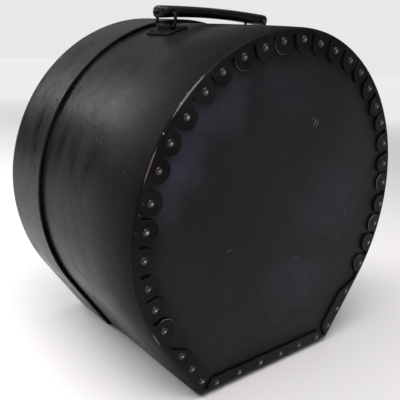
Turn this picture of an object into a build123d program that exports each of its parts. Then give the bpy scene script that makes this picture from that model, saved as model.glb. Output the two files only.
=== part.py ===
"""Round case of bent fibre sheet with a telescoping lid and a drop handle.

Millimetres, +Z up, +Y towards the lid. The origin is on the surface the case
stands on, under the middle of the case.
"""
from build123d import *
from math import acos, asin, atan2, cos, degrees, pi, radians, sin, sqrt
import os

# Case
case_radius = 190.0        # outside of the body's round wall
case_depth = 260.0         # outside of the front flanges to outside of the lid's flanges
lid_depth = 76.0           # lid rim to the lid's closed end
base_rise = 7.0            # how far the standing flat lies inside the wall's circle
slant_start = 125.2        # angle from the top where the wall leaves the circle, degrees
corner_bend = 6.0          # outside bend radius beside the standing flat
least_bend = 1.0           # smallest bend of an outline drawn inside the wall
sheet = 2.4                # thickness of the wall sheets
panel = 2.6                # thickness of the end panels
panel_clearance = 0.2      # between an end panel's edge and the wall around it
lid_clearance = 1.6        # between the body's wall and the lid's
rim_gap = 0.8              # between the body's open rim and the lid's end panel

# Folded edge
fold_bend = 3.6            # outside radius of the fold
root_inset = 6.0           # notch roots, from the outside of the wall
tab_count = 29
tab_span = 120.2           # angle of the last tab from the top, degrees
tab_gap = 4.6              # between two tabs at their roots
tab_reach = 24.0           # tab tips, from the outside of the wall
tab_sway = 0.35            # how much hand cutting moves a tab, degrees
tab_stray = 1.2            # how much hand cutting changes a tab's reach
slant_flange = 21.0        # width of the straight flange on each slant
slant_cut = 13.0           # drop of the slant flange's first corner
base_flange = 15.5         # width of the straight flange along the standing flat
base_flange_end = 8.0      # base flange's end from the corner, along the edge
flange_round = 5.0         # rounding of the flanges' free corners

# Rivets: a domed head, a shank and two legs clinched behind the sheets
head_radius = 3.7
head_height = 2.0
shank_radius = 1.8
hole_clearance = 0.05      # radial, around each shank
leg_length = 9.0
leg_width = 2.4
leg_thickness = 0.8
tab_rivet_inset = 13.0
slant_rivet_inset = 12.2
slant_rivet_count = 3
slant_rivet_first = 26.0   # first slant rivet from the slant's upper end
slant_rivet_last = 15.0    # last slant rivet from the base corner
base_rivet_inset = 9.8
base_rivet_count = 6
base_rivet_end = 22.0      # outer base rivet from the base corner

# Seams: each wall sheet laps over itself
lap_width = 28.0
lap_groove = 0.8           # width of the line where the sheet ends
body_seam_rivets = 5
lid_seam_rivets = 3
seam_end = 18.0            # outer seam rivets from the sheet's edges

# Handle
handle_from_rim = 48.0     # middle of the handle from the lid's rim
grip_length = 156.0
grip_width = 25.0
grip_middle = 11.4         # thickness of the grip at its middle
grip_end = 13.0            # thickness of the grip at its ends
grip_arch = 4.0            # how far its underside rises towards the middle
grip_gap = 4.6             # between the top of the wall and the middle of the grip
grip_corner = 9.0          # rounding of the grip's ends seen from above
grip_edge = 2.6            # rounding of the grip's long edges
grip_eye = 6.0             # loop bars above the underside of the grip's ends
nose_radius = 2.2          # moulded nose on each end of the grip
nose_length = 4.5
loop_spacing = 132.0       # between the two loops
loop_width = 33.0          # between the middles of a loop's legs
loop_wire = 3.5            # diameter of the loops
loop_bend = 3.6            # radius of the loops' corners, on the wire's middle
pivot_clearance = 0.08     # radial, around each loop bar
open_clearance = 0.3       # the same in the grip's right eye

# Footplates
foot_width = 28.0          # around the wall
foot_length = 42.0         # along the case
foot_sheet = 1.5
foot_seat = 0.05           # between a curved plate and the wall
knuckle_length = 23.0
knuckle_wall = 1.5
foot_rivet_x = 9.5
foot_rivet_y = 16.5
foot_head_radius = 3.2
foot_head_height = 1.6

# Worked out from the above
lid_grow = lid_clearance + sheet
lid_radius = case_radius + lid_grow
centre_height = case_radius - base_rise
circle_z = centre_height + lid_grow
front_y = -case_depth / 2
rear_y = case_depth / 2
rim_y = rear_y - lid_depth
body_depth = case_depth - sheet - panel - rim_gap
handle_y = rim_y - handle_from_rim
tab_pitch = 2 * tab_span / (tab_count - 1)
stack = sheet + panel
slant_angle = radians(slant_start)
slant_dir = (cos(slant_angle), -sin(slant_angle))      # down the right-hand slant
slant_in = (-sin(slant_angle), -cos(slant_angle))      # square to it, inwards


def slant_points(grow):
    """Upper and lower end of the right-hand slant, from the circle's centre."""
    radius = case_radius + grow
    drop = (radius * cos(slant_angle) + centre_height + grow) / sin(slant_angle)
    top = (radius * sin(slant_angle), radius * cos(slant_angle))
    low = (top[0] + drop * slant_dir[0], top[1] + drop * slant_dir[1])
    return top, low, drop


def profile(grow):
    """The case's outline, moved outwards by grow, flat, with the circle's centre at 0, 0."""
    radius = case_radius + grow
    top, low, _ = slant_points(grow)
    arc = ThreePointArc((-top[0], top[1]), (0, radius), top)
    right = Line(top, low)
    base = Line(low, (-low[0], low[1]))
    left = Line((-low[0], low[1]), (-top[0], top[1]))
    face = make_face(Curve() + [arc, right, base, left])
    corners = face.vertices().sort_by(Axis.Y)[:2]
    return fillet(corners, max(corner_bend + grow, least_bend))


def along_slant(grow, distance, inset):
    """A point beside the right-hand slant: distance down it and inset from its edge."""
    top, _, _ = slant_points(grow)
    return (top[0] + distance * slant_dir[0] + inset * slant_in[0],
            top[1] + distance * slant_dir[1] + inset * slant_in[1])


def tab_places(grow):
    """Angle, reach and rivet inset of each tab, as a hand cuts them."""
    places = []
    for index in range(tab_count):
        angle = -tab_span + tab_pitch * index + tab_sway * sin(2.3 * index)
        reach = tab_reach + tab_stray * sin(1.7 * index + grow)
        inset = tab_rivet_inset + 0.8 * tab_stray * sin(1.7 * index + grow)
        places.append((angle, reach, inset))
    return places


def tab(grow, angle, reach):
    """One round-ended tab, reaching in from the edge."""
    radius = case_radius + grow
    width = radians(tab_pitch) * (radius - root_inset) - tab_gap
    tip = Pos(0, radius - reach + width / 2) * Circle(width / 2)
    stem = Pos(0, radius - (reach - width / 2) / 2) * Rectangle(width, reach - width / 2)
    return Rot(0, 0, -angle) * (tip + stem)


def flanges(grow):
    """The straight flanges: one on each slant and one along the standing flat."""
    _, low, length = slant_points(grow)
    first = along_slant(grow, 0, 0)
    reach = (slant_flange * slant_in[1] + slant_cut) / -slant_dir[1]
    inner = along_slant(grow, reach, slant_flange)
    last = along_slant(grow, length - slant_flange / 2, slant_flange)
    end = along_slant(grow, length, 0)
    right = make_face(Polyline(first, inner, last, end, close=True))
    right = fillet([right.vertices().sort_by_distance(inner)[0]], flange_round)
    left = mirror(right, about=Plane.YZ)
    edge = low[0] - base_flange_end
    bevel = base_flange / 2
    shelf = low[1] + base_flange
    base = make_face(Polyline((-edge, low[1]), (-edge + bevel, shelf), (edge - bevel, shelf),
                              (edge, low[1]), close=True))
    base = fillet(base.vertices().sort_by(Axis.Y)[-2:], flange_round)
    return right + left + base


def rivet_places(grow):
    """Where an end's rivets stand, in three groups: tabs, base flange, slants."""
    tabs = []
    for angle, _, inset in tab_places(grow):
        reach = case_radius + grow - inset
        tabs.append((reach * sin(radians(angle)), reach * cos(radians(angle)), -angle))
    _, low, length = slant_points(grow)
    base_step = 2 * (low[0] - base_rivet_end) / (base_rivet_count - 1)
    base = [(-low[0] + base_rivet_end + base_step * index, low[1] + base_rivet_inset, 0)
            for index in range(base_rivet_count)]
    slant_step = (length - slant_rivet_first - slant_rivet_last) / (slant_rivet_count - 1)
    right = []
    for index in range(slant_rivet_count):
        place = along_slant(grow, slant_rivet_first + slant_step * index, slant_rivet_inset)
        right.append((*place, 90 - slant_start))
    left = [(-x, z, -turn) for x, z, turn in right]
    return tabs, base, left, right


def end_holes(grow):
    """The shank holes of one end, through its flanges and its panel."""
    places = [place for group in rivet_places(grow) for place in group]
    discs = Sketch() + [Pos(x, z) * Circle(shank_radius + hole_clearance) for x, z, _ in places]
    return extrude(Plane.XZ * discs, amount=-2 * stack)


def bent_shell(grow, depth):
    """A wall with its edge folded over the end at y = 0 and cut into tabs, open at y = depth."""
    outside = extrude(Plane.XZ * profile(grow), amount=-depth)
    inside = Pos(0, sheet, 0) * extrude(Plane.XZ * profile(grow - sheet), amount=-depth)
    shell = outside - inside
    outer_fold = shell.edges().filter_by_position(Axis.Y, -0.01, 0.01)
    shell = fillet(outer_fold, fold_bend)
    inner_fold = shell.edges().filter_by_position(Axis.Y, sheet - 0.01, sheet + 0.01)
    shell = fillet(inner_fold, fold_bend - sheet)
    window = profile(grow - root_inset)
    for angle, reach, _ in tab_places(grow):
        window -= tab(grow, angle, reach)
    window -= flanges(grow)
    opening = extrude(Plane.XZ * window, amount=-sheet - 0.2)
    return shell - opening - end_holes(grow)


def end_panel(grow):
    """The flat sheet that closes an end, behind the tabs."""
    plate = extrude(Plane.XZ * profile(grow - sheet - panel_clearance), amount=-panel)
    plate = fillet(plate.edges().filter_by_position(Axis.Y, -0.01, 0.01), fold_bend - sheet)
    return Pos(0, sheet, 0) * plate - end_holes(grow)


def rivet(thickness, radius=head_radius, height=head_height, back=leg_thickness):
    """A split rivet: its head stands on z = 0 and its legs turn out below the sheets."""
    ball = (radius * radius + height * height) / (2 * height)
    head = Pos(0, 0, height - ball) * Sphere(ball) & Pos(0, 0, height / 2) * Box(
        4 * radius, 4 * radius, height)
    shank = Pos(0, 0, -thickness / 2) * Cylinder(shank_radius, thickness)
    legs = Pos(0, 0, -thickness - back / 2) * Box(leg_width, leg_length, back)
    hub = Pos(0, 0, -thickness - back / 2) * Cylinder(shank_radius, back)
    return head + shank + legs + hub


def end_rivets(places):
    """Rivets on an end's face, each turned to follow the edge."""
    standing = rivet(stack)
    return [Plane(origin=(x, 0, z), x_dir=(1, 0, 0), z_dir=(0, -1, 0)) * Rot(0, 0, turn) * standing
            for x, z, turn in places]


def at_front(shape):
    """Place a front-end shape on the case."""
    return Pos(0, front_y, circle_z) * shape


def at_rear(shape):
    """Turn a front-end shape round to face the rear and place it on the case."""
    return Pos(0, rear_y, circle_z) * mirror(shape, about=Plane.XZ)


def seam_steps(length, count):
    """Places along a seam, from the sheet's edge."""
    step = (length - 2 * seam_end) / (count - 1)
    return [seam_end + step * index for index in range(count)]


# Body: a wall sheet lapped inside along the standing flat
base_z = circle_z - centre_height
lap_depth = body_depth - sheet - panel
body_shell = at_front(bent_shell(0, body_depth))
lap_y = front_y + stack + lap_depth / 2
lap = Pos(0, lap_y, base_z + 1.5 * sheet) * Box(lap_width, lap_depth, sheet)
groove = Pos(lap_width / 2, lap_y, base_z) * Box(lap_groove, lap_depth, sheet)
body_wall = body_shell + lap - groove
seam_length = case_depth - lid_depth - stack
seam_rivet = Rot(180, 0, 0) * rivet(2 * sheet, height=1.4)
seam_hole = Cylinder(shank_radius + hole_clearance, 6 * sheet)
body_seam = []
for reach in seam_steps(seam_length, body_seam_rivets):
    place = Pos(0, front_y + stack + reach, base_z)
    body_seam.append(place * seam_rivet)
    body_wall -= place * seam_hole

# Lid: the same, larger, lapped outside on its right-hand slant
lid_wall = at_rear(bent_shell(lid_grow, lid_depth))
slant_middle = slant_points(lid_grow)[2] / 2
seam_x, seam_z = along_slant(lid_grow, slant_middle, 0)
seam_plane = Plane(origin=(seam_x, 0, circle_z + seam_z), x_dir=(0, 1, 0),
                   z_dir=(-slant_in[0], 0, -slant_in[1]))
strap_depth = lid_depth - fold_bend
strap = seam_plane * Pos(rim_y + strap_depth / 2, 0, sheet / 2) * Box(strap_depth, lap_width, sheet)
lid_wall += strap
lid_seam = []
lid_seam_rivet = rivet(2 * sheet, height=1.4, back=0.6)
for reach in seam_steps(strap_depth, lid_seam_rivets):
    place = seam_plane * Pos(rim_y + reach, 0, sheet)
    lid_seam.append(place * lid_seam_rivet)
    lid_wall -= place * seam_hole

# Footplates: curved plates with a knuckle for the loop, on backing plates inside the wall
knuckle_radius = loop_wire / 2 + pivot_clearance + knuckle_wall
knuckle_height = foot_seat + foot_sheet + knuckle_radius
knuckle_reach = case_radius + knuckle_height
foot_turn = degrees(asin(loop_spacing / 2 / knuckle_reach))
inner_radius = case_radius - sheet


def around_wall(radius, length):
    """A cylinder along the case, about the wall's centre."""
    return Rot(90, 0, 0) * Cylinder(radius, length)


def curved_plate(low, thickness):
    """A plate bent to the wall, at the top of the circle."""
    ring = around_wall(low + thickness, foot_length) - around_wall(low, foot_length)
    blank = Pos(0, 0, low) * Box(foot_width, foot_length, 10 * thickness)
    plate = ring & blank
    return fillet(plate.edges().filter_by(Axis.Z, tolerance=6), 3)


def foot_spots():
    """The rivets' turns about the wall's centre and their places along the case."""
    turn = degrees(asin(foot_rivet_x / case_radius))
    return [(side * turn, end * foot_rivet_y) for side in (-1, 1) for end in (-1, 1)]


def on_wall(turn, along, height):
    """A place on the wall: turned from the top, along the case and off the circle's centre."""
    return Rot(0, turn, 0) * Pos(0, along, height)


foot_low = case_radius + foot_seat
foot_top = foot_low + foot_sheet
back_low = inner_radius - foot_seat - foot_sheet
foot_stack = foot_top - back_low
foot_blank = curved_plate(foot_low, foot_sheet)
knuckle = Pos(0, 0, knuckle_reach) * (Rot(90, 0, 0) * Cylinder(knuckle_radius, knuckle_length))
knuckle_foot = Pos(0, 0, foot_top + knuckle_radius / 2 - foot_sheet / 4) * Box(
    2 * knuckle_radius, knuckle_length, knuckle_radius + foot_sheet / 2)
knuckle_bore = Pos(0, 0, knuckle_reach) * around_wall(loop_wire / 2 + pivot_clearance, foot_length)
foot = foot_blank + knuckle + knuckle_foot - knuckle_bore
backing = curved_plate(back_low, foot_sheet)
foot_rivet = rivet(foot_stack + foot_seat, foot_head_radius, foot_head_height)
drill = Cylinder(shank_radius + hole_clearance, 4 * foot_stack)
foot_rivet_set = []
for turn, along in foot_spots():
    foot -= on_wall(turn, along, foot_top) * drill
    backing -= on_wall(turn, along, foot_top) * drill
    foot_rivet_set.append(on_wall(turn, along, foot_top) * foot_rivet)


def at_foot(side, shape):
    """Move a shape from the top of the circle to the left (-1) or right (1) foot."""
    return Pos(0, handle_y, circle_z) * Rot(0, side * foot_turn, 0) * shape


for side in (-1, 1):
    for turn, along in foot_spots():
        body_wall -= at_foot(side, on_wall(turn, along, foot_top) * drill)

# Loops and grip
pivot_x = loop_spacing / 2
pivot_z = circle_z + knuckle_reach * cos(radians(foot_turn))
grip_low = circle_z + case_radius + grip_gap - grip_arch
eye_z = grip_low + grip_eye
loop_height = eye_z - pivot_z


def loop(side):
    """A rectangular wire loop, standing on its knuckle."""
    frame = fillet(Rectangle(loop_width, loop_height).vertices(), loop_bend)
    plane = Plane(origin=(side * pivot_x, handle_y, pivot_z + loop_height / 2),
                  x_dir=(0, 1, 0), z_dir=(1, 0, 0))
    path = (plane * frame).face().outer_wire()
    section = Plane(origin=path @ 0, z_dir=path % 0) * Circle(loop_wire / 2)
    return sweep(section, path=path)


def grip():
    """An arched bar with an eye for each loop and a small nose on each end."""
    half = grip_length / 2
    crown = ThreePointArc((half, grip_end), (0, grip_arch + grip_middle), (-half, grip_end))
    underside = ThreePointArc((-half, 0), (0, grip_arch), (half, 0))
    ends = [Line((side * half, 0), (side * half, grip_end)) for side in (-1, 1)]
    face = make_face(Curve() + [crown, underside] + ends)
    bar = extrude(Plane.XZ * face, amount=grip_width / 2, both=True)
    bar = fillet(bar.edges().filter_by(Axis.Z), grip_corner)
    rims = bar.faces().sort_by(Axis.Z)[0].edges() + bar.faces().sort_by(Axis.Z)[-1].edges()
    bar = fillet(rims, grip_edge)
    for side in (-1, 1):
        middle = Pos(side * half, 0, grip_end / 2)
        bar += middle * (Rot(0, 90, 0) * Cylinder(nose_radius, 2 * (nose_length - nose_radius)))
        bar += Pos(side * (half + nose_length - nose_radius), 0, grip_end / 2) * Sphere(nose_radius)
        slack = open_clearance if side > 0 else pivot_clearance
        bore = Rot(90, 0, 0) * Cylinder(loop_wire / 2 + slack, 2 * grip_width)
        bar -= Pos(side * pivot_x, 0, grip_eye) * bore
    return Pos(0, handle_y, grip_low) * bar


front_tabs, front_base, front_left, front_right = rivet_places(0)
lid_tabs, lid_base, lid_left, lid_right = rivet_places(lid_grow)
nodes = {
    "body_wall": [body_wall],
    "front_panel": [at_front(end_panel(0))],
    "front_tab_rivets": [at_front(one) for one in end_rivets(front_tabs)],
    "front_base_rivets": [at_front(one) for one in end_rivets(front_base)],
    "front_left_slant_rivets": [at_front(one) for one in end_rivets(front_left)],
    "front_right_slant_rivets": [at_front(one) for one in end_rivets(front_right)],
    "body_seam_rivets": body_seam,
    "lid_wall": [lid_wall],
    "lid_end_panel": [at_rear(end_panel(lid_grow))],
    "lid_tab_rivets": [at_rear(one) for one in end_rivets(lid_tabs)],
    "lid_base_rivets": [at_rear(one) for one in end_rivets(lid_base)],
    "lid_left_slant_rivets": [at_rear(one) for one in end_rivets(lid_left)],
    "lid_right_slant_rivets": [at_rear(one) for one in end_rivets(lid_right)],
    "lid_seam_rivets": lid_seam,
    "handle_grip": [grip()],
}
for name, side in (("left", -1), ("right", 1)):
    nodes[f"{name}_footplate"] = [at_foot(side, foot)]
    nodes[f"{name}_backing_plate"] = [at_foot(side, backing)]
    nodes[f"{name}_foot_rivets"] = [at_foot(side, one) for one in foot_rivet_set]
    nodes[f"{name}_loop"] = [loop(side)]

os.makedirs("parts", exist_ok=True)
for name, shapes in nodes.items():
    solids = [solid for shape in shapes for solid in shape.solids()]
    body = solids[0] if len(solids) == 1 else Compound(children=solids)
    export_step(body, f"parts/{name}.step")
    print(name, len(solids), "solids")

swing = degrees(acos(1 - (grip_gap - 1) / loop_height))
print("pivots at x", round(pivot_x, 3), "y", round(handle_y, 3), "z", round(pivot_z, 3))
print("eyes at z", round(eye_z, 3), "loop height", round(loop_height, 3), "swing", round(swing, 1))
print("circle centre z", circle_z, "base half-width", round(slant_points(0)[1][0], 2))
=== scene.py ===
import math
import bmesh
import bpy
from mathutils import Matrix, Vector, noise


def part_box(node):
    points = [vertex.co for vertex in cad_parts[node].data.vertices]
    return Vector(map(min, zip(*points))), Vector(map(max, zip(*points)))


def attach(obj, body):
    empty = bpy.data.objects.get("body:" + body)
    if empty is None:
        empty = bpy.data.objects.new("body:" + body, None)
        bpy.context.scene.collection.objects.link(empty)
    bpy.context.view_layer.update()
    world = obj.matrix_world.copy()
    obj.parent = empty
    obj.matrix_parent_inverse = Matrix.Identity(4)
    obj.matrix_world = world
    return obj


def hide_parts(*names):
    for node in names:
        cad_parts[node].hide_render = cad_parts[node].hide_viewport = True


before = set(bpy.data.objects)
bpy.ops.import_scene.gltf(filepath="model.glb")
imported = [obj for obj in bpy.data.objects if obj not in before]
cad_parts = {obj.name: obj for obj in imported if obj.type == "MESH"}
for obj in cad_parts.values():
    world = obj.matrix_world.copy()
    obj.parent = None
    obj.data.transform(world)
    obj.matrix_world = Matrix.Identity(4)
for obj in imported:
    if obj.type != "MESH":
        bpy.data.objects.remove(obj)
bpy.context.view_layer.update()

print("frame loaded")


# a socket that does sums: expressions on it add the nodes
class Wire:
    def __init__(self, finish, socket):
        self.finish = finish
        self.socket = socket

    def sums(self, operation, first, second):
        kind = "ShaderNodeMath" if self.socket.type == "VALUE" else "ShaderNodeVectorMath"
        return self.finish.node(kind, {"operation": operation}, {0: first, 1: second})

    def __add__(self, other):
        return self.sums("ADD", self, other)

    def __radd__(self, other):
        return self.sums("ADD", other, self)

    def __sub__(self, other):
        return self.sums("SUBTRACT", self, other)

    def __rsub__(self, other):
        return self.sums("SUBTRACT", other, self)

    def __mul__(self, other):
        return self.sums("MULTIPLY", self, other)

    def __rmul__(self, other):
        return self.sums("MULTIPLY", other, self)

    def __truediv__(self, other):
        return self.sums("DIVIDE", self, other)

    def __rtruediv__(self, other):
        return self.sums("DIVIDE", other, self)

    def held(self):  # kept between 0 and 1
        return self.finish.node("ShaderNodeClamp", {}, {0: self})

    def above(self, edge, soft):  # 0 below the edge, 1 above it
        return ((self - (edge - soft)) / (2 * soft)).held()

    def axis(self, name):  # one axis of a vector
        return self.finish.node("ShaderNodeSeparateXYZ", {}, {0: self}, name)


class Finish:
    def __init__(self, tree):
        self.tree = tree
        self.shader = tree.nodes.get("Principled BSDF") or tree.nodes["Background"]

    def node(self, kind, settings, sockets, output=0):
        made = self.tree.nodes.new(kind)
        for key, value in settings.items():
            setattr(made, key, value)
        for key, value in sockets.items():
            if isinstance(value, Wire):
                self.tree.links.new(value.socket, made.inputs[key])
            else:
                made.inputs[key].default_value = value
        return Wire(self, made.outputs[output])

    def place(self):  # where on the object, in metres
        return self.node("ShaderNodeTexCoord", {}, {}, "Object")

    def marked(self, name):  # a value painted on the mesh's points
        return self.node("ShaderNodeAttribute", {"attribute_name": name}, {}, "Fac")

    def cloud(self, where, scale, detail=3.0, rough=0.5, warp=0.0):
        sockets = {"Vector": where, "Scale": scale, "Detail": detail, "Roughness": rough, "Distortion": warp}
        return self.node("ShaderNodeTexNoise", {}, sockets)

    def mixed(self, share, low, high):  # from low to high as share goes from 0 to 1
        ends = [(*end, 1) if isinstance(end, tuple) else end for end in (low, high)]
        return self.node("ShaderNodeMix", {"data_type": "RGBA"}, {0: share, 6: ends[0], 7: ends[1]}, 2)

    def bumps(self, height, depth, under=None):
        sockets = {"Height": height, "Distance": depth}
        if under:
            sockets["Normal"] = under
        return self.node("ShaderNodeBump", {}, sockets)

    def feed(self, **wires):
        for socket, wire in wires.items():
            self.tree.links.new(wire.socket, self.shader.inputs[socket.replace("_", " ")])


def newFinish(name, specular=0.5):
    material = bpy.data.materials.new(name)
    material.use_nodes = True
    made = Finish(material.node_tree)
    made.material = material
    made.shader.inputs["IOR"].default_value = 1.5
    made.shader.inputs["Specular IOR Level"].default_value = specular
    return made


fibreLook = {
    "black": (0.0026, 0.0025, 0.0027),   # the dyed sheet
    "chalky": (0.0160, 0.0153, 0.0155),  # where hands and dust have dulled it
    "rubbed": (0.17, 0.165, 0.158),      # black rubbed to grey on edges
    "raw": (0.090, 0.045, 0.028),        # bare fibre where a fold has worn through
    "nick": (0.34, 0.335, 0.33),
    "speck": (0.12, 0.115, 0.11),
    "grime_and_painted_shade": (0.0025, 0.0025, 0.0028),   # painted shade: darkens the panel's border, in the gaps between the tabs
    "specular": 0.06,
    "gloss": 0.22,
    "dull": 0.36,
}
# the lid's copy: paler dust, partly real dust and partly painted sheen that makes the lid lighter than the
# body
lidLookPaintedSheen = dict(fibreLook, chalky=(0.0260, 0.0250, 0.0254), specular=0.08)
panelLook = dict(fibreLook, black=(0.0082, 0.0081, 0.0086), chalky=(0.0158, 0.0164, 0.0190),
                 specular=0.12, gloss=0.40, dull=0.55)
# small light chips on the folds: place and size, in metres
foldNicks = [
    (-0.1889, -0.1250, 0.2060, 0.0009), (-0.1869, -0.1295, 0.2075, 0.0007),
    (-0.1897, -0.1250, 0.1787, 0.0008), (-0.1879, -0.1295, 0.1796, 0.0007),
    (-0.1610, -0.1290, 0.2840, 0.0008), (-0.1440, -0.1285, 0.3080, 0.0007),
    (-0.1250, 0.1295, 0.3200, 0.0009), (0.1760, 0.1280, 0.2450, 0.0009),
    (0.1880, -0.1270, 0.2000, 0.0009),
]


def fibreFinish(name, look, flat=False):
    made = newFinish(name, look["specular"])
    where = made.place()
    patches = made.cloud(where, 6.0, 4, 0.6, 0.5)
    mottle = made.cloud(where, 34.0, 5, 0.65)
    grain = made.cloud(where, 1400.0, 3, 0.6)
    rubs = made.cloud(where * (1.0, 0.10, 1.0), 110.0, 4, 0.7).above(0.66, 0.05)
    specks = made.cloud(where, 330.0, 1, 0.5).above(0.775, 0.012)
    rag = made.cloud(where, 190.0, 5, 0.8)
    wear = made.marked("wear")
    worn = (wear * 1.1 + rag * 1.0).above(1.30, 0.12)
    bare = (made.marked("raw") * 1.1 + rag * 1.4).above(1.66, 0.12)
    dust = (patches * 0.9 + mottle * 0.5).above(0.74, 0.22)
    if not flat:      # painted shade: the last stretch before the front fold is painted dark, with its dust taken away, and made rougher
        forward = 0 - where.axis("Y")
        # painted shade: mask that darkens the wall towards the front fold, less on the tabs
        paintedFoldShade = forward.above(0.084, 0.034) * 0.9 - forward.above(0.1284, 0.0006) * 0.65
        streaks = made.cloud(where * (0.28, 1.0, 0.28), 60.0, 4, 0.6, 0.4)      # they run round the drum
        dust = (patches * 0.9 + mottle * 0.35 + streaks * 0.5).above(0.87, 0.17) * (1 - paintedFoldShade)
    colour = made.mixed(dust, look["black"], look["chalky"])
    if flat:
        # painted shade: the panel is darkened near its border, where the gaps between the tabs lie in shade
        border = made.marked("border")
        paintedGapShade = (border + mottle * 0.15).above(0.93, 0.05) * 0.75
        colour = made.mixed(paintedGapShade, colour, look["grime_and_painted_shade"])
    colour = made.mixed(rubs * 0.30, colour, look["chalky"])
    colour = made.mixed(specks * 0.7, colour, look["speck"])
    colour = made.mixed(worn * 0.8, colour, look["rubbed"])
    colour = made.mixed(bare * 0.9, colour, look["raw"])
    if not flat:
        chips = 0.0
        squat = where * (1.0, 1.0, 0.4)      # makes each chip taller than it is wide
        for x, y, z, size in foldNicks:
            ends = {0: squat, 1: (x, y, z * 0.4)}
            off = made.node("ShaderNodeVectorMath", {"operation": "DISTANCE"}, ends, "Value")
            chips = (1 - off / size).held() + chips
        colour = made.mixed(chips.above(0.35, 0.2), colour, look["nick"])
    gloss = look["gloss"] + dust * (look["dull"] - look["gloss"]) + rubs * 0.08 + worn * 0.15
    if not flat:
        gloss = gloss + paintedFoldShade * 0.42
    made.feed(Base_Color=colour, Roughness=(gloss + mottle * 0.12 - 0.06).held())
    shallow = made.bumps(mottle * 0.6 + patches, 0.0012)
    made.feed(Normal=made.bumps(grain * 0.7 + rubs * 0.3, 0.00005, shallow))
    return made


# scratches on the end panels: place from the middle, length, lean in degrees, width
frontScratches = [
    (0.035, 0.092, 0.009, 62, 0.0007), (0.039, 0.090, 0.008, 66, 0.0005),
    (0.031, 0.096, 0.005, 60, 0.0004), (-0.075, -0.030, 0.007, 12, 0.0003),
    (0.030, -0.060, 0.012, -35, 0.0002), (0.110, -0.020, 0.009, 75, 0.0002),
]
lidScratches = [
    (-0.060, 0.060, 0.022, -24, 0.0004), (-0.052, 0.055, 0.014, -30, 0.0003),
    (0.085, -0.040, 0.016, 50, 0.0003), (0.020, 0.110, 0.009, 8, 0.0003),
    (-0.100, -0.050, 0.010, 70, 0.0003), (0.010, -0.090, 0.018, -8, 0.0002),
]
# painted reflections: cooler, paler patches on the end panels: place from the middle, half-width,
# half-height, strength
frontReflectionPatches = [
    (-0.140, 0.066, 0.040, 0.066, 1.0), (-0.108, 0.112, 0.044, 0.038, 0.7),
    (0.078, 0.002, 0.074, 0.050, 0.5), (0.110, 0.060, 0.050, 0.056, 0.3),
    (0.036, -0.100, 0.072, 0.040, 0.8), (-0.010, 0.120, 0.060, 0.030, 0.3),
]
lidReflectionPatches = [
    (0.090, 0.070, 0.060, 0.070, 0.6), (-0.070, -0.030, 0.080, 0.055, 0.4),
    (0.020, -0.120, 0.080, 0.040, 0.5), (-0.120, 0.080, 0.050, 0.060, 0.35),
]
paintedReflectionColour = (0.0285, 0.0300, 0.0480)
scratchColour = (0.20, 0.20, 0.21)


def panelFinish(name, middle, scratches, reflectionPatches):
    made = fibreFinish(name, panelLook, True)
    where = made.place()
    across = where.axis("X") - middle.x
    upward = where.axis("Z") - middle.z
    marks = 0.0
    for x, z, length, lean, width in scratches:
        turn = math.radians(lean)
        along = (across - x) * math.cos(turn) + (upward - z) * math.sin(turn)
        off = (upward - z) * math.cos(turn) - (across - x) * math.sin(turn)
        line = (1 - off * off / width ** 2).held() * (1 - along * along * (4 / length ** 2)).held()
        marks = line.above(0.25, 0.2) + marks
    paintedReflection = 0.0
    drift = (made.cloud(where, 11.0, 4, 0.6, 0.6) - 0.5) * 0.11      # keeps the painted reflection patches from looking round
    slip = (made.cloud(where + (5.0, 0.0, 2.0), 13.0, 4, 0.6) - 0.5) * 0.11
    for x, z, wide, tall, strength in reflectionPatches:
        sideways = (across + drift - x) / wide
        upright = (upward + slip - z) / tall
        paintedReflection = (1 - sideways * sideways - upright * upright).held() * strength + paintedReflection
    ragged = made.cloud(where + (3.1, 0.0, 1.7), 16.0, 4, 0.6, 0.8).above(0.50, 0.22)
    plain = Wire(made, made.shader.inputs["Base Color"].links[0].from_socket)
    # painted reflection: the patches are mixed into the panel's colour
    plain = made.mixed(paintedReflection.held() * (0.35 + 0.65 * ragged), plain, paintedReflectionColour)
    made.feed(Base_Color=made.mixed(marks.held() * 0.7, plain, scratchColour))
    return made


rivetLook = {
    "metal": (0.46, 0.45, 0.43),
    "lacquer": (0.009, 0.008, 0.008),
    "grime_and_painted_shade": (0.02, 0.016, 0.013),
}


def rivetFinish():
    made = newFinish("rivetMetal")
    where = made.place()
    patchy = made.cloud(where, 700.0, 3, 0.6)
    each = made.cloud(where, 55.0, 1, 0.5)
    bare = (made.marked("crown") + patchy * 0.55 + each * 0.5).above(1.23, 0.12)
    colour = made.mixed(bare, rivetLook["lacquer"], rivetLook["metal"])
    colour = made.mixed(patchy.above(0.62, 0.05) * 0.5, colour, rivetLook["grime_and_painted_shade"])
    made.feed(Base_Color=colour, Metallic=bare, Roughness=0.34 + patchy * 0.22)
    made.feed(Normal=made.bumps(patchy, 0.00008))
    return made


def metalFinish(name, metal, lacquer, keep, gloss):
    made = newFinish(name, 0.12)
    where = made.place()
    patchy = made.cloud(where, 260.0, 5, 0.65)
    fine = made.cloud(where, 1600.0, 2, 0.5)
    bare = (patchy * 0.8 + fine * 0.2).above(keep, 0.06)
    made.feed(Base_Color=made.mixed(bare, lacquer, metal))
    made.feed(Metallic=bare * 0.9, Roughness=gloss + patchy * 0.25)
    made.feed(Normal=made.bumps(patchy * 0.5 + fine * 0.5, 0.00006))
    return made


gripLook = {"black": (0.0022, 0.0027, 0.0025), "rubbed": (0.012, 0.0145, 0.0125)}


def gripFinish():
    made = newFinish("gripMoulding", 0.2)
    where = made.place()
    sockets = {"Vector": where, "Scale": 900.0}
    pebble = made.node("ShaderNodeTexVoronoi", {"feature": "SMOOTH_F1"}, sockets)
    worn = made.cloud(where, 70.0, 4, 0.65).above(0.60, 0.08)
    share = (worn * 0.5 + made.marked("wear") * 0.5).held()
    made.feed(Base_Color=made.mixed(share, gripLook["black"], gripLook["rubbed"]))
    made.feed(Roughness=0.34 + worn * 0.16, Normal=made.bumps(pebble, 0.00012))
    return made


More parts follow.
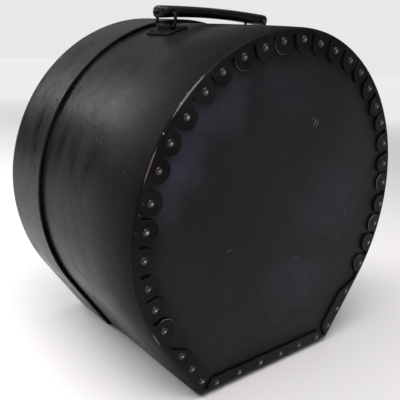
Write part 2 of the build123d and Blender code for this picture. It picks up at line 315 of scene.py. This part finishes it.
wallFibre = fibreFinish("wallFibre", fibreLook)
lidFibre = fibreFinish("lidFibre", lidLookPaintedSheen)
rivetMetal = rivetFinish()
loopMetal = metalFinish("loopMetal", (0.085, 0.082, 0.076), (0.0060, 0.0056, 0.0056), 0.58, 0.44)
plateMetal = metalFinish("plateMetal", (0.09, 0.075, 0.064), (0.0028, 0.0026, 0.0028), 0.72, 0.52)
backMetal = metalFinish("backMetal", (0.20, 0.17, 0.14), (0.030, 0.028, 0.027), 0.55, 0.45)
gripMoulding = gripFinish()
print("finishes made")

# the case's outline, walked by its length from the middle of the standing flat

caseShape = {
    "slantStart": math.radians(125.2),  # from the top
    "bend": 0.006,
    "sheet": 0.0024,
    "panel": 0.0026,
    "fold": 0.0036,
    "root": 0.006,
    "tabWidthShare": 0.835,   # of the step between two tabs
    "tabReach": 0.024,
    "rivetInset": 0.013,
    "slantFlange": 0.021,
    "slantCutRun": 0.0307,
    "baseFlange": 0.0155,
    "baseEnd": 0.008,
    "slantSoft": 0.0012,      # rounding of the flanges' corners
    "baseSoft": 0.0010,
    "slantCurl": 0.0003,      # how far a flange stands off
    "baseCurl": 0.0004,
    "flangeRub": 0.62,
    "rimEase": 0.0004,
    "tipEase": 0.0005,
    "rivetApart": 0.0095,     # points nearer than this belong to one rivet
}


class Outline:
    def __init__(self, low, high, bend):
        self.radius = (high.x - low.x) / 2
        self.centreZ = high.z - self.radius
        self.lowZ = low.z
        self.bend = bend
        turn = caseShape["slantStart"]
        self.cornerZ = low.z + bend - self.centreZ
        self.cornerX = (self.radius - bend - self.cornerZ * math.cos(turn)) / math.sin(turn)
        self.cornerEnd = self.cornerX + bend * (math.pi - turn)
        dx = (self.radius - bend) * math.sin(turn) - self.cornerX
        dz = (self.radius - bend) * math.cos(turn) - self.cornerZ
        self.slantEnd = self.cornerEnd + math.hypot(dx, dz)
        self.total = 2 * (self.slantEnd + turn * self.radius)
        self.sharp = bend * math.tan((math.pi - turn) / 2)   # from a bend's start to its sharp corner

    def at(self, run):  # x, z and the outward direction there
        side = 1
        if run > self.total / 2:
            run = self.total - run
            side = -1
        turn = caseShape["slantStart"]
        if run <= self.cornerX:
            x, z, facing = run, self.lowZ - self.centreZ, math.pi
        elif run <= self.cornerEnd:
            facing = math.pi - (run - self.cornerX) / self.bend
            x = self.cornerX + self.bend * math.sin(facing)
            z = self.cornerZ + self.bend * math.cos(facing)
        elif run <= self.slantEnd:
            facing = turn
            left = self.slantEnd - run
            x = self.radius * math.sin(turn) + left * math.cos(turn)
            z = self.radius * math.cos(turn) - left * math.sin(turn)
        else:
            facing = turn - (run - self.slantEnd) / self.radius
            x, z = self.radius * math.sin(facing), self.radius * math.cos(facing)
        return side * x, z + self.centreZ, side * math.sin(facing), math.cos(facing)

    def runAt(self, angle):  # angle from the top, right-hand side positive
        run = self.slantEnd + (caseShape["slantStart"] - abs(angle)) * self.radius
        return run if angle >= 0 else self.total - run


def rivetAxes(node):  # where a group of end rivets stands, read from the frame's own mesh
    found = []
    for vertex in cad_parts[node].data.vertices:
        x, y, z = vertex.co
        for group in found:
            if math.hypot(x - group[0], z - group[1]) < caseShape["rivetApart"]:
                left, low, right, high = group[2]
                group[2] = (min(left, x), min(low, z), max(right, x), max(high, z))
                break
        else:
            found.append([x, z, (x, z, x, z)])
    return [((box[0] + box[2]) / 2, (box[1] + box[3]) / 2) for _, _, box in found]


class Tabs:
    def __init__(self, outline, node):
        axes = rivetAxes(node)
        places = []
        for x, z in axes:
            angle = math.atan2(x, z - outline.centreZ)
            inset = outline.radius - math.hypot(x, z - outline.centreZ)
            places.append((angle, inset))
        places.sort()
        self.outline = outline
        step = (places[-1][0] - places[0][0]) / (len(places) - 1)
        self.half = caseShape["tabWidthShare"] * step * (outline.radius - caseShape["root"]) / 2
        self.spread = self.half / (outline.radius - caseShape["root"])
        self.places = []
        for index, (angle, inset) in enumerate(places):
            reach = caseShape["tabReach"] + (inset - caseShape["rivetInset"]) / 0.8
            curl = 0.0003 + 0.0005 * (0.5 + 0.5 * math.sin(5.1 * index + 40 * outline.radius))
            rubbed = 0.55 + 0.65 * max(0.0, math.sin(2.9 * index + 1.3)) ** 4
            self.places.append((angle, inset, reach, curl, rubbed))

    def reachAt(self, angle):  # how far the sheet reaches in, how much it curls, how rubbed its edge is
        best = (caseShape["root"], 0.0, 0.5)
        for middle, _, reach, curl, rubbed in self.places:
            off = abs(angle - middle)
            if off <= self.spread * 1.0001:
                tip = reach - self.half
                across = off * (self.outline.radius - tip)
                bulge = math.sqrt(max(self.half ** 2 - across ** 2, 0.0))
                best = (tip + bulge, curl, rubbed)
        return best


def softLeast(values, soft):
    low = min(values)
    total = sum(math.exp(-(value - low) / soft) for value in values)
    return low - soft * math.log(total)


def flangeReach(outline, tabs, run):
    side = run if run <= outline.total / 2 else outline.total - run
    root = caseShape["root"]
    if side > outline.slantEnd:
        angle = caseShape["slantStart"] - (side - outline.slantEnd) / outline.radius
        return tabs.reachAt(angle if run <= outline.total / 2 else -angle)
    if side > outline.cornerEnd:
        down = outline.slantEnd - side
        length = outline.slantEnd - outline.cornerEnd + outline.sharp
        depth = caseShape["slantFlange"]
        cut = down * depth / caseShape["slantCutRun"]
        mitre = 2 * (length - down)
        reach = softLeast([cut, depth, mitre], caseShape["slantSoft"])
        return max(reach, root), caseShape["slantCurl"], caseShape["flangeRub"]
    if side > outline.cornerX:
        return min(root, outline.bend * 0.85), 0.0, 0.5
    end = outline.cornerX + outline.sharp - side - caseShape["baseEnd"]
    reach = softLeast([2 * end, caseShape["baseFlange"]], caseShape["baseSoft"])
    return max(reach, root), caseShape["baseCurl"], caseShape["flangeRub"]


def columnRuns(outline, tabs):
    runs = set()
    jump = 0.00025
    for angle, *_ in tabs.places:
        for share in (0, 0.14, 0.28, 0.42, 0.55, 0.67, 0.78, 0.87, 0.94, 0.98, 1.0):
            for side in (-1, 1):
                runs.add(outline.runAt(angle + side * share * tabs.spread))
        for side in (-1, 1):
            runs.add(outline.runAt(angle + side * tabs.spread) - side * jump)
            runs.add(outline.runAt(angle + side * tabs.spread) - side * 0.0016)
    halfRuns = [outline.cornerX * step / 26 for step in range(1, 27)]
    corner = outline.cornerEnd - outline.cornerX
    halfRuns += [outline.cornerX + corner * step / 6 for step in range(1, 7)]
    slant = outline.slantEnd - outline.cornerEnd
    halfRuns += [outline.cornerEnd + slant * step / 44 for step in range(1, 45)]
    halfRuns += [outline.slantEnd + 0.0015, outline.slantEnd + 0.003]
    for run in halfRuns:
        runs.update((run, outline.total - run))
    runs.update((0.0, outline.total / 2))
    ordered = []
    for run in sorted(runs):
        if not ordered or run - ordered[-1] > 0.00008:
            ordered.append(run)
    if outline.total - ordered[-1] < 0.0001:
        ordered.pop()
    return ordered


def meshObject(name, mesh, finish, body, sharp=38):
    for face in mesh.faces:
        face.smooth = True
    data = bpy.data.meshes.new(name)
    mesh.to_mesh(data)
    mesh.free()
    data.set_sharp_from_angle(angle=math.radians(sharp))
    made = bpy.data.objects.new(name, data)
    bpy.context.scene.collection.objects.link(made)
    data.materials.append(finish.material)
    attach(made, body)
    return made


wallWave = {"depth": 0.0009, "size": 11.0, "rim": 0.0005, "lean": 0.0009, "leanRun": 0.050}
# stretches of fold that have been knocked about: angle from the top, half-width, how much, how brown
foldKnocks = [
    (-47, 9, 1.1, 0.15), (-68, 8, 0.85, 1.0), (-87, 6, 0.35, 0.1), (-121, 4, 0.8, 0.5), (28, 10, 0.4, 0.2),
    (64, 12, 0.45, 0.3), (112, 7, 0.5, 0.6), (-15, 6, 0.35, 0.0), (-162, 8, 0.6, 0.8), (152, 7, 0.9, 1.2),
]


def knocked(x, z, y):  # how worn and how brown the fold is here
    angle = math.degrees(math.atan2(x, z))
    if y > 0:
        angle = -angle * 0.9 + 17
    most, brown = 0.0, 0.0
    for middle, half, strength, tan in foldKnocks:
        here = math.exp(-((angle - middle) / half) ** 2)
        most = max(most, strength * here)
        brown = max(brown, tan * here)
    rough = 0.25 * noise.noise(Vector((x * 30, y * 30, z * 30)))
    return 0.20 + most + rough, brown


def bentShell(name, node, outline, tabs, endY, openY, body, finish, lean):
    inward = 1 if openY > endY else -1    # from the closed end towards the open rim
    depth = abs(openY - endY)
    sheet, fold = caseShape["sheet"], caseShape["fold"]
    ease, tip = caseShape["rimEase"], caseShape["tipEase"]
    mesh = bmesh.new()
    wear = mesh.verts.layers.float.new("wear")
    raw = mesh.verts.layers.float.new("raw")
    sideRows = 22
    foldRows = 7
    tabRows = (0.25, 0.5, 0.75)
    columns = []
    for run in columnRuns(outline, tabs):
        x, z, outX, outZ = outline.at(run)
        reach, curl, rubbed = flangeReach(outline, tabs, run)
        rim = wallWave["rim"] * noise.noise(Vector((x * 14, z * 14, endY * 9)))
        knock, brown = knocked(x, z - outline.centreZ, endY)
        profile = []      # inset, height off the closed end, wear
        straight = depth - fold - ease + rim
        profile += [(sheet - ease, depth + rim, 0.4), (ease, depth + rim, 0.55)]
        profile += [(0.0, fold + straight * (1 - row / sideRows), 0.55 if row == 0 else 0.0)
                    for row in range(sideRows)]
        for row in range(foldRows + 1):
            turn = math.pi / 2 * row / foldRows
            inset = fold * (1 - math.cos(turn))
            profile.append((inset, fold * (1 - math.sin(turn)), knock * math.sin(2 * turn) ** 4))
        span = reach - fold
        for share in tabRows:
            inset = fold + span * share
            profile.append((inset, -curl * share ** 2, 0.12))
        profile += [(reach - tip, -curl, 0.42 * rubbed), (reach, tip - curl, rubbed),
                    (reach, sheet - tip - curl, 0.3), (reach - tip, sheet - curl, 0.0)]
        for share in reversed(tabRows):
            profile.append((fold + span * share, sheet - curl * share ** 2, 0.0))
        bend = fold - sheet
        for row in range(4, -1, -1):
            turn = math.pi / 2 * row / 4
            inset = sheet + bend * (1 - math.cos(turn))
            profile.append((inset, sheet + bend * (1 - math.sin(turn)), 0.0))
        profile += [(sheet, fold + straight * (row / 8), 0.0) for row in range(1, 9)]
        column = []
        for inset, lift, worn in profile:
            y = endY + inward * lift
            size = wallWave["size"]
            wave = noise.noise(Vector((x * size, y * size * 0.8, z * size)))
            deeper = inset + wallWave["depth"] * (0.5 + 0.5 * wave)
            deeper += lean * (1 - min(1.0, max(lift, 0.0) / wallWave["leanRun"])) ** 2
            vertex = mesh.verts.new((x - outX * deeper, y, z - outZ * deeper))
            vertex[wear] = worn
            vertex[raw] = brown * min(1.0, worn * 1.6)
            column.append(vertex)
        columns.append(column)
    count = len(columns[0])
    for index, column in enumerate(columns):
        after = columns[(index + 1) % len(columns)]
        for row in range(count):
            below = (row + 1) % count
            mesh.faces.new((column[row], column[below], after[below], after[row]))
    bmesh.ops.recalc_face_normals(mesh, faces=mesh.faces)
    made = meshObject(name, mesh, finish, body)
    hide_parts(node)


bodyLow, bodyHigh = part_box("body_wall")
lidLow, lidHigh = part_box("lid_wall")
bodyLine = Outline(bodyLow, bodyHigh, caseShape["bend"])
lidLine = Outline(lidLow, lidHigh, caseShape["bend"] + bodyLow.z - lidLow.z)
bodyTabs = Tabs(bodyLine, "front_tab_rivets")
lidTabs = Tabs(lidLine, "lid_tab_rivets")
bentShell("bodyWall", "body_wall", bodyLine, bodyTabs, bodyLow.y, bodyHigh.y, "case", wallFibre,
          wallWave["lean"])
bentShell("lidWall", "lid_wall", lidLine, lidTabs, lidHigh.y, lidLow.y, "lid", lidFibre, 0.0)
print("walls bent")


# end panels: flat sheets that have bowed a little

panelBow = {"depth": 0.0007, "size": 7.0, "rings": 30, "spokes": 168}


def endPanel(name, node, outline, body, outward, finish):
    low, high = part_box(node)
    outerY = low.y if outward < 0 else high.y
    mesh = bmesh.new()
    border = mesh.verts.layers.float.new("border")
    inset = caseShape["sheet"] + 0.0002
    spokes, rings = panelBow["spokes"], panelBow["rings"]
    edge = []
    for spoke in range(spokes):
        x, z, outX, outZ = outline.at(outline.total * spoke / spokes)
        edge.append((x - outX * inset, z - outZ * inset))
    layers = []
    for thickness in (0.0, caseShape["panel"]):
        grid = []
        for ring in range(1, rings + 1):
            share = ring / rings
            row = []
            for x, z in edge:
                px, pz = x * share, outline.centreZ + (z - outline.centreZ) * share
                calm = min(1.0, (1 - share) * 5)
                size = panelBow["size"]
                wave = 0.5 + 0.5 * noise.noise(Vector((px * size, outerY, pz * size)))
                depth = thickness + panelBow["depth"] * wave * calm
                row.append(mesh.verts.new((px, outerY - outward * depth, pz)))
                row[-1][border] = share
            grid.append(row)
        wave = 0.5 + 0.5 * noise.noise(Vector((0, outerY, outline.centreZ * panelBow["size"])))
        depth = thickness + panelBow["depth"] * wave
        centre = mesh.verts.new((0, outerY - outward * depth, outline.centreZ))
        for spoke in range(spokes):
            after = (spoke + 1) % spokes
            mesh.faces.new((centre, grid[0][spoke], grid[0][after]))
            for inner, outer in zip(grid, grid[1:]):
                mesh.faces.new((inner[spoke], outer[spoke], outer[after], inner[after]))
        layers.append(grid[-1])
    for spoke in range(spokes):
        after = (spoke + 1) % spokes
        outside, inside = layers
        mesh.faces.new((outside[spoke], outside[after], inside[after], inside[spoke]))
    bmesh.ops.recalc_face_normals(mesh, faces=mesh.faces)
    made = meshObject(name, mesh, finish, body)
    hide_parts(node)


panelLow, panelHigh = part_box("front_panel")
panelMiddle = (panelLow + panelHigh) / 2
frontFibre = panelFinish("frontFibre", panelMiddle, frontScratches, frontReflectionPatches)
lidEndFibre = panelFinish("lidEndFibre", panelMiddle, lidScratches, lidReflectionPatches)
endPanel("frontPanel", "front_panel", bodyLine, "case", -1, frontFibre)
endPanel("lidEndPanel", "lid_end_panel", lidLine, "lid", 1, lidEndFibre)
print("panels cut")


# laps: where each wall sheet passes over itself

lapShape = {"half": 0.014, "wear": 0.3, "edge": 0.0005, "short": 0.001, "sink": 0.0003}


def lapStrip(name, corners, thick, up, body, finish):
    mesh = bmesh.new()
    wear = mesh.verts.layers.float.new("wear")
    for face in (0, 1):
        for corner in corners:
            vertex = mesh.verts.new(Vector(corner) + up * thick * face)
            vertex[wear] = lapShape["wear"]
    mesh.verts.ensure_lookup_table()
    verts = list(mesh.verts)
    mesh.faces.new(verts[3::-1])
    mesh.faces.new(verts[4:])
    for index in range(4):
        after = (index + 1) % 4
        mesh.faces.new((verts[index], verts[after], verts[4 + after], verts[4 + index]))
    bmesh.ops.recalc_face_normals(mesh, faces=mesh.faces)
    made = meshObject(name, mesh, finish, body, 30)
    soft = made.modifiers.new("edges", "BEVEL")
    soft.width = lapShape["edge"]
    soft.segments = 2
    soft.limit_method = "ANGLE"


lapHalf = lapShape["half"]
lapFront = bodyLow.y + caseShape["sheet"] + caseShape["panel"]
lapBack = bodyHigh.y - lapShape["short"]
lapZ = bodyLow.z + caseShape["sheet"]
lapStrip("bodyLap", [(-lapHalf, lapFront, lapZ), (lapHalf, lapFront, lapZ),
                     (lapHalf, lapBack, lapZ), (-lapHalf, lapBack, lapZ)],
         caseShape["sheet"], Vector((0, 0, 1)), "case", wallFibre)
lapRun = lidLine.slantEnd - (lidLine.slantEnd - lidLine.cornerEnd + lidLine.sharp) / 2
lapEnds = [lidLine.at(lapRun - lapHalf), lidLine.at(lapRun + lapHalf)]
lapUp = Vector((lapEnds[0][2], 0, lapEnds[0][3]))
lidBack = lidHigh.y - caseShape["fold"]
sink = lapShape["sink"]
lapCorners = []
for end, y in ((0, lidLow.y), (1, lidLow.y), (1, lidBack), (0, lidBack)):
    lapCorners.append(Vector((lapEnds[end][0], y, lapEnds[end][1])) - lapUp * sink)
lapStrip("lidLap", lapCorners, caseShape["sheet"] + sink, lapUp, "lid", lidFibre)


# rivets: domed heads, two legs turned out behind the sheets

rivetShape = {"radius": 0.0037, "height": 0.0017, "stand": 0.0020, "shank": 0.0018, "leg": 0.0045,
              "legWidth": 0.0024, "legThick": 0.0008, "dip": -0.0002, "legMark": 0.55, "lift": 0.0001,
              "turns": 18, "rings": 6}


def addRivet(mesh, crown, place, spin, stack, tilt):
    turns, rings = rivetShape["turns"], rivetShape["rings"]
    frameOf = place @ Matrix.Rotation(spin, 4, "Z") @ Matrix.Rotation(tilt, 4, "X")
    radius, height = rivetShape["radius"], rivetShape["height"]
    rows = []
    for ring in range(rings + 1):
        share = 1 - ring / rings
        away = radius * (1 - share ** 1.6)
        dome = height * math.sqrt(max(0.0, 1 - (away / radius) ** 2))
        rows.append((away, dome if ring < rings else rivetShape["dip"], 1 - away / radius))
    rows.append((rivetShape["shank"], rivetShape["dip"], 0.0))
    rows.append((rivetShape["shank"], -stack, 0.0))
    loops = []
    for away, up, mark in rows:
        if away < 1e-7:
            vertex = mesh.verts.new(frameOf @ Vector((0, 0, up)))
            vertex[crown] = mark
            loops.append([vertex] * turns)
            continue
        loop = []
        for turn in range(turns):
            angle = 2 * math.pi * turn / turns
            spot = Vector((away * math.cos(angle), away * math.sin(angle), up))
            vertex = mesh.verts.new(frameOf @ spot)
            vertex[crown] = mark
            loop.append(vertex)
        loops.append(loop)
    for upper, lower in zip(loops, loops[1:]):
        for turn in range(turns):
            after = (turn + 1) % turns
            corners = [upper[turn], lower[turn], lower[after], upper[after]]
            unique = list(dict.fromkeys(corners))
            if len(unique) > 2:
                mesh.faces.new(unique)
    mesh.faces.new(loops[-1])
    wide, thick = rivetShape["legWidth"] / 2, rivetShape["legThick"]
    for side in (-1, 1):     # each leg leaves the shank, turns out and lies on the sheet
        path = [(0.0006, -stack + 0.0004), (0.0014, -stack - 0.0001), (0.0024, -stack),
                (0.0034, -stack), (rivetShape["leg"], -stack - 0.00005)]
        loopsOf = []
        for index, (out, up) in enumerate(path):
            taper = wide * (1 - 0.35 * index / (len(path) - 1))
            height = thick * (1.2 - 0.5 * index / (len(path) - 1))
            loopsOf.append([mesh.verts.new(frameOf @ Vector((a, side * out, b))) for a, b in
                            ((-taper, up), (taper, up), (taper, up - height), (-taper, up - height))])
        for first, second in zip(loopsOf, loopsOf[1:]):
            for corner in range(4):
                after = (corner + 1) % 4
                mesh.faces.new((first[corner], first[after], second[after], second[corner]))
        mesh.faces.new(loopsOf[0])
        mesh.faces.new(loopsOf[-1])
        for loop in loopsOf:
            for vertex in loop:
                vertex[crown] = rivetShape["legMark"]


def endRivets(name, node, outline, tabs, outward, body):
    low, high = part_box(node)
    faceY = low.y + rivetShape["stand"] if outward < 0 else high.y - rivetShape["stand"]
    mesh = bmesh.new()
    crown = mesh.verts.layers.float.new("crown")
    stack = caseShape["sheet"] + caseShape["panel"]
    for index, (x, z) in enumerate(rivetAxes(node)):
        angle = math.atan2(x, z - outline.centreZ)
        lift = rivetShape["lift"]
        if tabs:
            nearest = min(tabs.places, key=lambda place: abs(place[0] - angle))
            share = (nearest[1] - caseShape["fold"]) / (nearest[2] - caseShape["fold"])
            lift = nearest[3] * share ** 2
        y = faceY + outward * lift
        facing = Matrix(((1, 0, 0, x), (0, 0, outward, y), (0, 1, 0, z), (0, 0, 0, 1)))
        wobble = math.radians(3.0) * math.sin(7.7 * index + x * 90)
        spin = -outward * angle + 0.5 * math.sin(3.3 * index)
        addRivet(mesh, crown, facing, spin, stack + lift, wobble)
    bmesh.ops.recalc_face_normals(mesh, faces=mesh.faces)
    made = meshObject(name, mesh, rivetMetal, body, 50)
    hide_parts(node)


closedEnds = (("front", "case", bodyLine, bodyTabs, -1), ("lid", "lid", lidLine, lidTabs, 1))
for end, body, line, tabs, outward in closedEnds:
    for row in ("tab", "base", "left_slant", "right_slant"):
        words = row.split("_")
        title = end + "".join(word.capitalize() for word in words) + "Rivets"
        endRivets(title, f"{end}_{row}_rivets", line, tabs if row == "tab" else None, outward, body)
print("rivets set")


# grip: a crowned bar with a seam line and a small nose at each end

gripShape = {"rings": 56, "around": 40, "crown": 0.0024, "arch": 0.0040, "nose": 0.0045, "seam": 0.0005,
             "seamHalf": 0.0008, "round": 0.0095, "squeeze": 0.0035, "squareness": 3.0, "eye": 0.0025,
             "eyeUp": 0.0060}
noseSteps = ((0.0, 0.0024), (0.0016, 0.0023), (0.0031, 0.0019), (0.0041, 0.0010))  # out, radius


def gripRing(x, half, halfWide, middleThick):  # half the width, and the lowest and highest point, at x
    fromEnd = half - abs(x)
    plan = 1.0
    if fromEnd < gripShape["round"]:
        plan = math.sqrt(max(1 - (1 - fromEnd / gripShape["round"]) ** 2, 0.0))
    wide = halfWide * (0.55 + 0.45 * plan)
    low = gripShape["arch"] * (1 - (x / half) ** 2)
    high = gripShape["arch"] + middleThick - gripShape["crown"] * (x / half) ** 2
    if fromEnd < gripShape["squeeze"]:
        squeeze = 0.66 + 0.34 * math.sqrt(1 - (1 - fromEnd / gripShape["squeeze"]) ** 2)
        middle = (low + high) / 2
        low = middle + (low - middle) * squeeze
        high = middle + (high - middle) * squeeze
    return wide, low, high


def boreEyes(made, places, low, high):
    for x, z in places:
        drill = bmesh.new()
        turned = Matrix.Translation((x, (low.y + high.y) / 2, z)) @ Matrix.Rotation(math.pi / 2, 4, "X")
        bmesh.ops.create_cone(drill, cap_ends=True, segments=20, radius1=gripShape["eye"],
                              radius2=gripShape["eye"], depth=2 * (high.y - low.y), matrix=turned)
        data = bpy.data.meshes.new("drill")
        drill.to_mesh(data)
        drill.free()
        tool = bpy.data.objects.new("drill", data)
        bpy.context.scene.collection.objects.link(tool)
        bore = made.modifiers.new("bore", "BOOLEAN")
        bore.operation = "DIFFERENCE"
        bore.object = tool
        bpy.context.view_layer.update()
        solved = made.evaluated_get(bpy.context.evaluated_depsgraph_get())
        shaped = bpy.data.meshes.new_from_object(solved)
        made.modifiers.clear()
        made.data = shaped
        bpy.data.objects.remove(tool)


def gripBar():
    low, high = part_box("handle_grip")
    middle = (low + high) / 2
    half = (high.x - low.x) / 2 - gripShape["nose"]
    halfWide = (high.y - low.y) / 2
    middleThick = high.z - low.z - gripShape["arch"]
    mesh = bmesh.new()
    wear = mesh.verts.layers.float.new("wear")
    rings, around = gripShape["rings"], gripShape["around"]
    loops = []
    for ring in range(rings + 1):
        x = half * math.sin(math.pi * (ring / rings - 0.5))      # closer together at the ends
        wide, bottom, top = gripRing(x, half, halfWide, middleThick)
        tall = (top - bottom) / 2
        loop = []
        for step in range(around):
            angle = 2 * math.pi * step / around
            c, s = math.cos(angle), math.sin(angle)
            power = 2 / gripShape["squareness"]
            y = (wide - gripShape["seam"]) * math.copysign(abs(c) ** power, c)
            z = tall * math.copysign(abs(s) ** power, s)
            seam = max(0.0, 1 - abs(z) / gripShape["seamHalf"])      # moulding line along both sides
            y += math.copysign(gripShape["seam"] * seam, c)
            vertex = mesh.verts.new((middle.x + x, middle.y + y, low.z + (top + bottom) / 2 + z))
            corner = abs(c) ** power > 0.8 and abs(s) ** power > 0.75
            vertex[wear] = seam * 0.8 + (0.35 if corner else 0.0)
            loop.append(vertex)
        loops.append(loop)
    for first, second in zip(loops, loops[1:]):
        for step in range(around):
            after = (step + 1) % around
            mesh.faces.new((first[step], first[after], second[after], second[step]))
    for loop, side in ((loops[0], -1), (loops[-1], 1)):          # a rounded nose closes each end
        centre = sum((vertex.co for vertex in loop), Vector()) / around
        previous = loop
        for out, size in noseSteps:
            nose = []
            for step in range(around):
                angle = 2 * math.pi * step / around
                y = centre.y + size * math.cos(angle)
                z = centre.z + size * math.sin(angle)
                nose.append(mesh.verts.new((centre.x + side * out, y, z)))
                nose[-1][wear] = 0.4
            for step in range(around):
                after = (step + 1) % around
                mesh.faces.new((previous[step], previous[after], nose[after], nose[step]))
            previous = nose
        mesh.faces.new(previous)
    bmesh.ops.recalc_face_normals(mesh, faces=mesh.faces)
    made = meshObject("gripBar", mesh, gripMoulding, "grip", 55)
    eyes = []
    for side in ("left", "right"):
        loopLow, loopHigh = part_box(f"{side}_loop")
        eyes.append(((loopLow.x + loopHigh.x) / 2, low.z + gripShape["eyeUp"]))
    boreEyes(made, eyes, low, high)
    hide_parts("handle_grip")


gripBar()
print("grip moulded")

# parts kept from the frame: their edges eased and their metal given


def weldSeams(node):      # closes slivers left where the frame's faces meet
    weld = node.modifiers.new("weld", "WELD")
    weld.merge_threshold = 0.00001


def easeEdges(node, width):
    weldSeams(node)
    soft = node.modifiers.new("edges", "BEVEL")
    soft.width = width
    soft.segments = 2
    soft.limit_method = "ANGLE"
    soft.angle_limit = math.radians(40)
    soft.harden_normals = True


def giveFinish(node, finish):
    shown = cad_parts[node]
    shown.data.materials.clear()
    shown.data.materials.append(finish.material)


for side in ("left", "right"):
    giveFinish(f"{side}_loop", loopMetal)
    giveFinish(f"{side}_footplate", plateMetal)
    giveFinish(f"{side}_backing_plate", backMetal)
    giveFinish(f"{side}_foot_rivets", plateMetal)
    easeEdges(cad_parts[f"{side}_footplate"], 0.0003)
    weldSeams(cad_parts[f"{side}_foot_rivets"])
for end in ("body", "lid"):
    giveFinish(f"{end}_seam_rivets", plateMetal)
    weldSeams(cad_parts[f"{end}_seam_rivets"])

# floor, light and camera

studio = {
    "floor": (0.84, 0.825, 0.825),
    "backdrop": (0.82, 0.80, 0.805),
    "overhead": 0.40,      # sky above
    "horizon": 0.05,       # sky low down
    "behind": 0.22,        # pale wall behind the case
    "overheadPower": 34.0,
    "windowPower": 24.0,   # from behind on the left
    "smudge": (0.74, 0.72, 0.72),
    "fade": 6.0,           # larger keeps the floor longer before it melts away
    "reach": 6,            # half the floor's side
}
nothing = (0.0, 0.0, 0.0)


def layFloor():
    mesh = bmesh.new()
    bmesh.ops.create_grid(mesh, x_segments=1, y_segments=1, size=studio["reach"])
    data = bpy.data.meshes.new("floor")
    mesh.to_mesh(data)
    mesh.free()
    floor = bpy.data.objects.new("floor", data)
    bpy.context.scene.collection.objects.link(floor)
    paint = newFinish("floorPaint", 0.3)
    where = paint.place()
    across, along = where.axis("X"), where.axis("Y")
    far = ((across * across + along * along) / studio["fade"]).above(0.55, 0.45)
    near = paint.mixed(paint.cloud(where, 3.0, 2) * 0.15, studio["floor"], studio["smudge"])
    paint.feed(Base_Color=paint.mixed(far, near, nothing))
    paint.feed(Emission_Color=paint.mixed(far, nothing, studio["backdrop"]))      # melts into the backdrop
    paint.shader.inputs["Emission Strength"].default_value = 1.0
    paint.shader.inputs["Roughness"].default_value = 0.5
    data.materials.append(paint.material)


def lightSky():
    world = bpy.data.worlds.new("studio")
    bpy.context.scene.world = world
    world.use_nodes = True
    sky = Finish(world.node_tree)
    toward = sky.node("ShaderNodeTexCoord", {}, {}, "Generated")
    glow = toward.axis("Z").above(0.62, 0.40) * studio["overhead"] + studio["horizon"]
    wall = toward.axis("Y").above(0.62, 0.25) * toward.axis("Z").above(0.16, 0.16)
    glow = glow + wall * studio["behind"]
    seen = sky.node("ShaderNodeLightPath", {}, {}, "Is Camera Ray")
    shade = sky.node("ShaderNodeCombineColor", {}, {0: glow, 1: glow, 2: glow * 1.02})
    sky.feed(Color=sky.mixed(seen, shade, studio["backdrop"]))


def hangLamp(name, place, aim, size, power, tint):
    lamp = bpy.data.lights.new(name, "AREA")
    lamp.shape = "RECTANGLE"
    lamp.size, lamp.size_y = size
    lamp.energy = power
    lamp.color = tint
    made = bpy.data.objects.new(name, lamp)
    made.location = place
    made.rotation_mode = "QUATERNION"
    made.rotation_quaternion = (Vector(aim) - Vector(place)).to_track_quat("-Z", "Y")
    bpy.context.scene.collection.objects.link(made)


layFloor()
lightSky()
hangLamp("overheadLamp", (-0.4, -0.5, 1.7), (0, 0, 0.2), (1.6, 1.6), studio["overheadPower"],
         (1.0, 0.99, 0.97))
hangLamp("windowLamp", (-1.0, 1.2, 1.2), (-0.3, 0.3, 0.0), (1.0, 0.8), studio["windowPower"],
         (1.0, 0.995, 0.99))

cameraSetting = {
    "lens": 48.89,
    "sensor": 36,
    "azimuth": 39.99,      # from straight ahead towards the left
    "elevation": 16.73,
    "roll": 3.32,
    "distance": 0.4912,
    "target": (-0.1186, -0.1300, 0.2204),
}


def setCamera():
    camera = bpy.data.cameras.new("camera")
    camera.lens = cameraSetting["lens"]
    camera.sensor_width = cameraSetting["sensor"]
    camera.clip_start = 0.01
    made = bpy.data.objects.new("camera", camera)
    bpy.context.scene.collection.objects.link(made)
    azimuth = math.radians(cameraSetting["azimuth"])
    elevation = math.radians(cameraSetting["elevation"])
    roll = math.radians(cameraSetting["roll"])
    level = math.cos(elevation)
    back = Vector((-math.sin(azimuth) * level, -math.cos(azimuth) * level, math.sin(elevation)))
    right = Vector((0, 0, 1)).cross(back).normalized()
    up = back.cross(right)
    turnedRight = right * math.cos(roll) + up * math.sin(roll)
    turnedUp = up * math.cos(roll) - right * math.sin(roll)
    place = Vector(cameraSetting["target"]) + back * cameraSetting["distance"]
    made.matrix_world = Matrix((
        (turnedRight.x, turnedUp.x, back.x, place.x),
        (turnedRight.y, turnedUp.y, back.y, place.y),
        (turnedRight.z, turnedUp.z, back.z, place.z),
        (0, 0, 0, 1)))
    bpy.context.scene.camera = made


setCamera()
bpy.context.scene.view_settings.view_transform = "Standard"
print("studio set")
